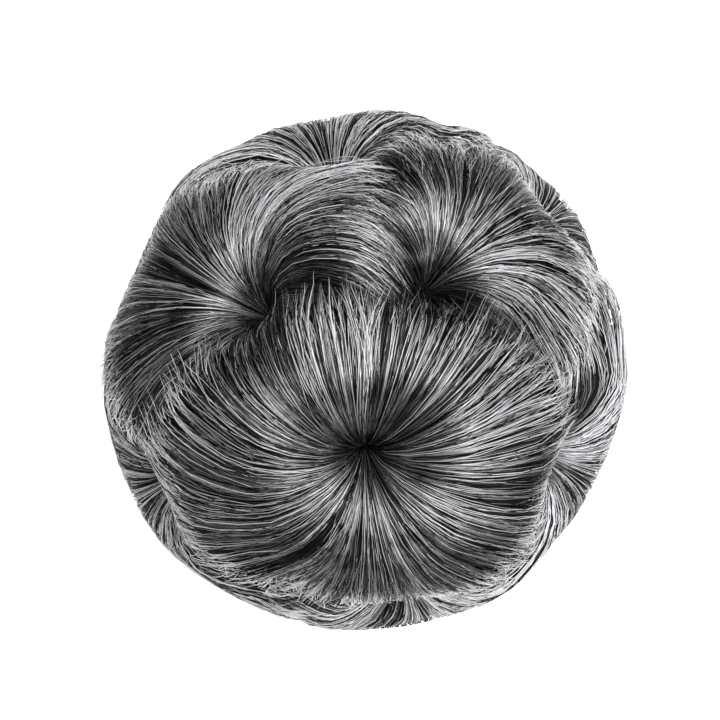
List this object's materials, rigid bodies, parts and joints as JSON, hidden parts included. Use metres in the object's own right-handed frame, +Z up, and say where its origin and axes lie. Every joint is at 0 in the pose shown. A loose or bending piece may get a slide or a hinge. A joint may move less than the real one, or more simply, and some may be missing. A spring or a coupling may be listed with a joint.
{
  "type": "clip-in hair bun",
  "caption": "Domed clip-in bun of grey synthetic hair: tucked flower-like curls sewn round a hollow net cap, with an insertion comb inside its rim.",
  "frame": {"origin": "middle of the bun's outline, in the plane that the underside of the cap's hem stands on", "axes": "+Z up through the dome, -Y towards the large front curl, +X to the right seen from above with the front curl nearest"},
  "size_m": [0.1262, 0.1248, 0.0705],
  "materials": {
    "hair": "silky synthetic strands, salt and pepper grey",
    "net": "matt black net with a sewn hem",
    "comb_plastic": "satin black moulded plastic"
  },
  "bodies": {
    "root": {"base_cap": "net", "comb": "comb_plastic", "top_curl_front": "hair", "top_curl_left": "hair", "top_curl_right": "hair", "side_curl_back": "hair", "side_curl_right": "hair", "side_curl_front_left": "hair", "side_curl_back_right": "hair", "side_curl_front": "hair", "side_curl_left": "hair"}
  },
  "joints": []
}
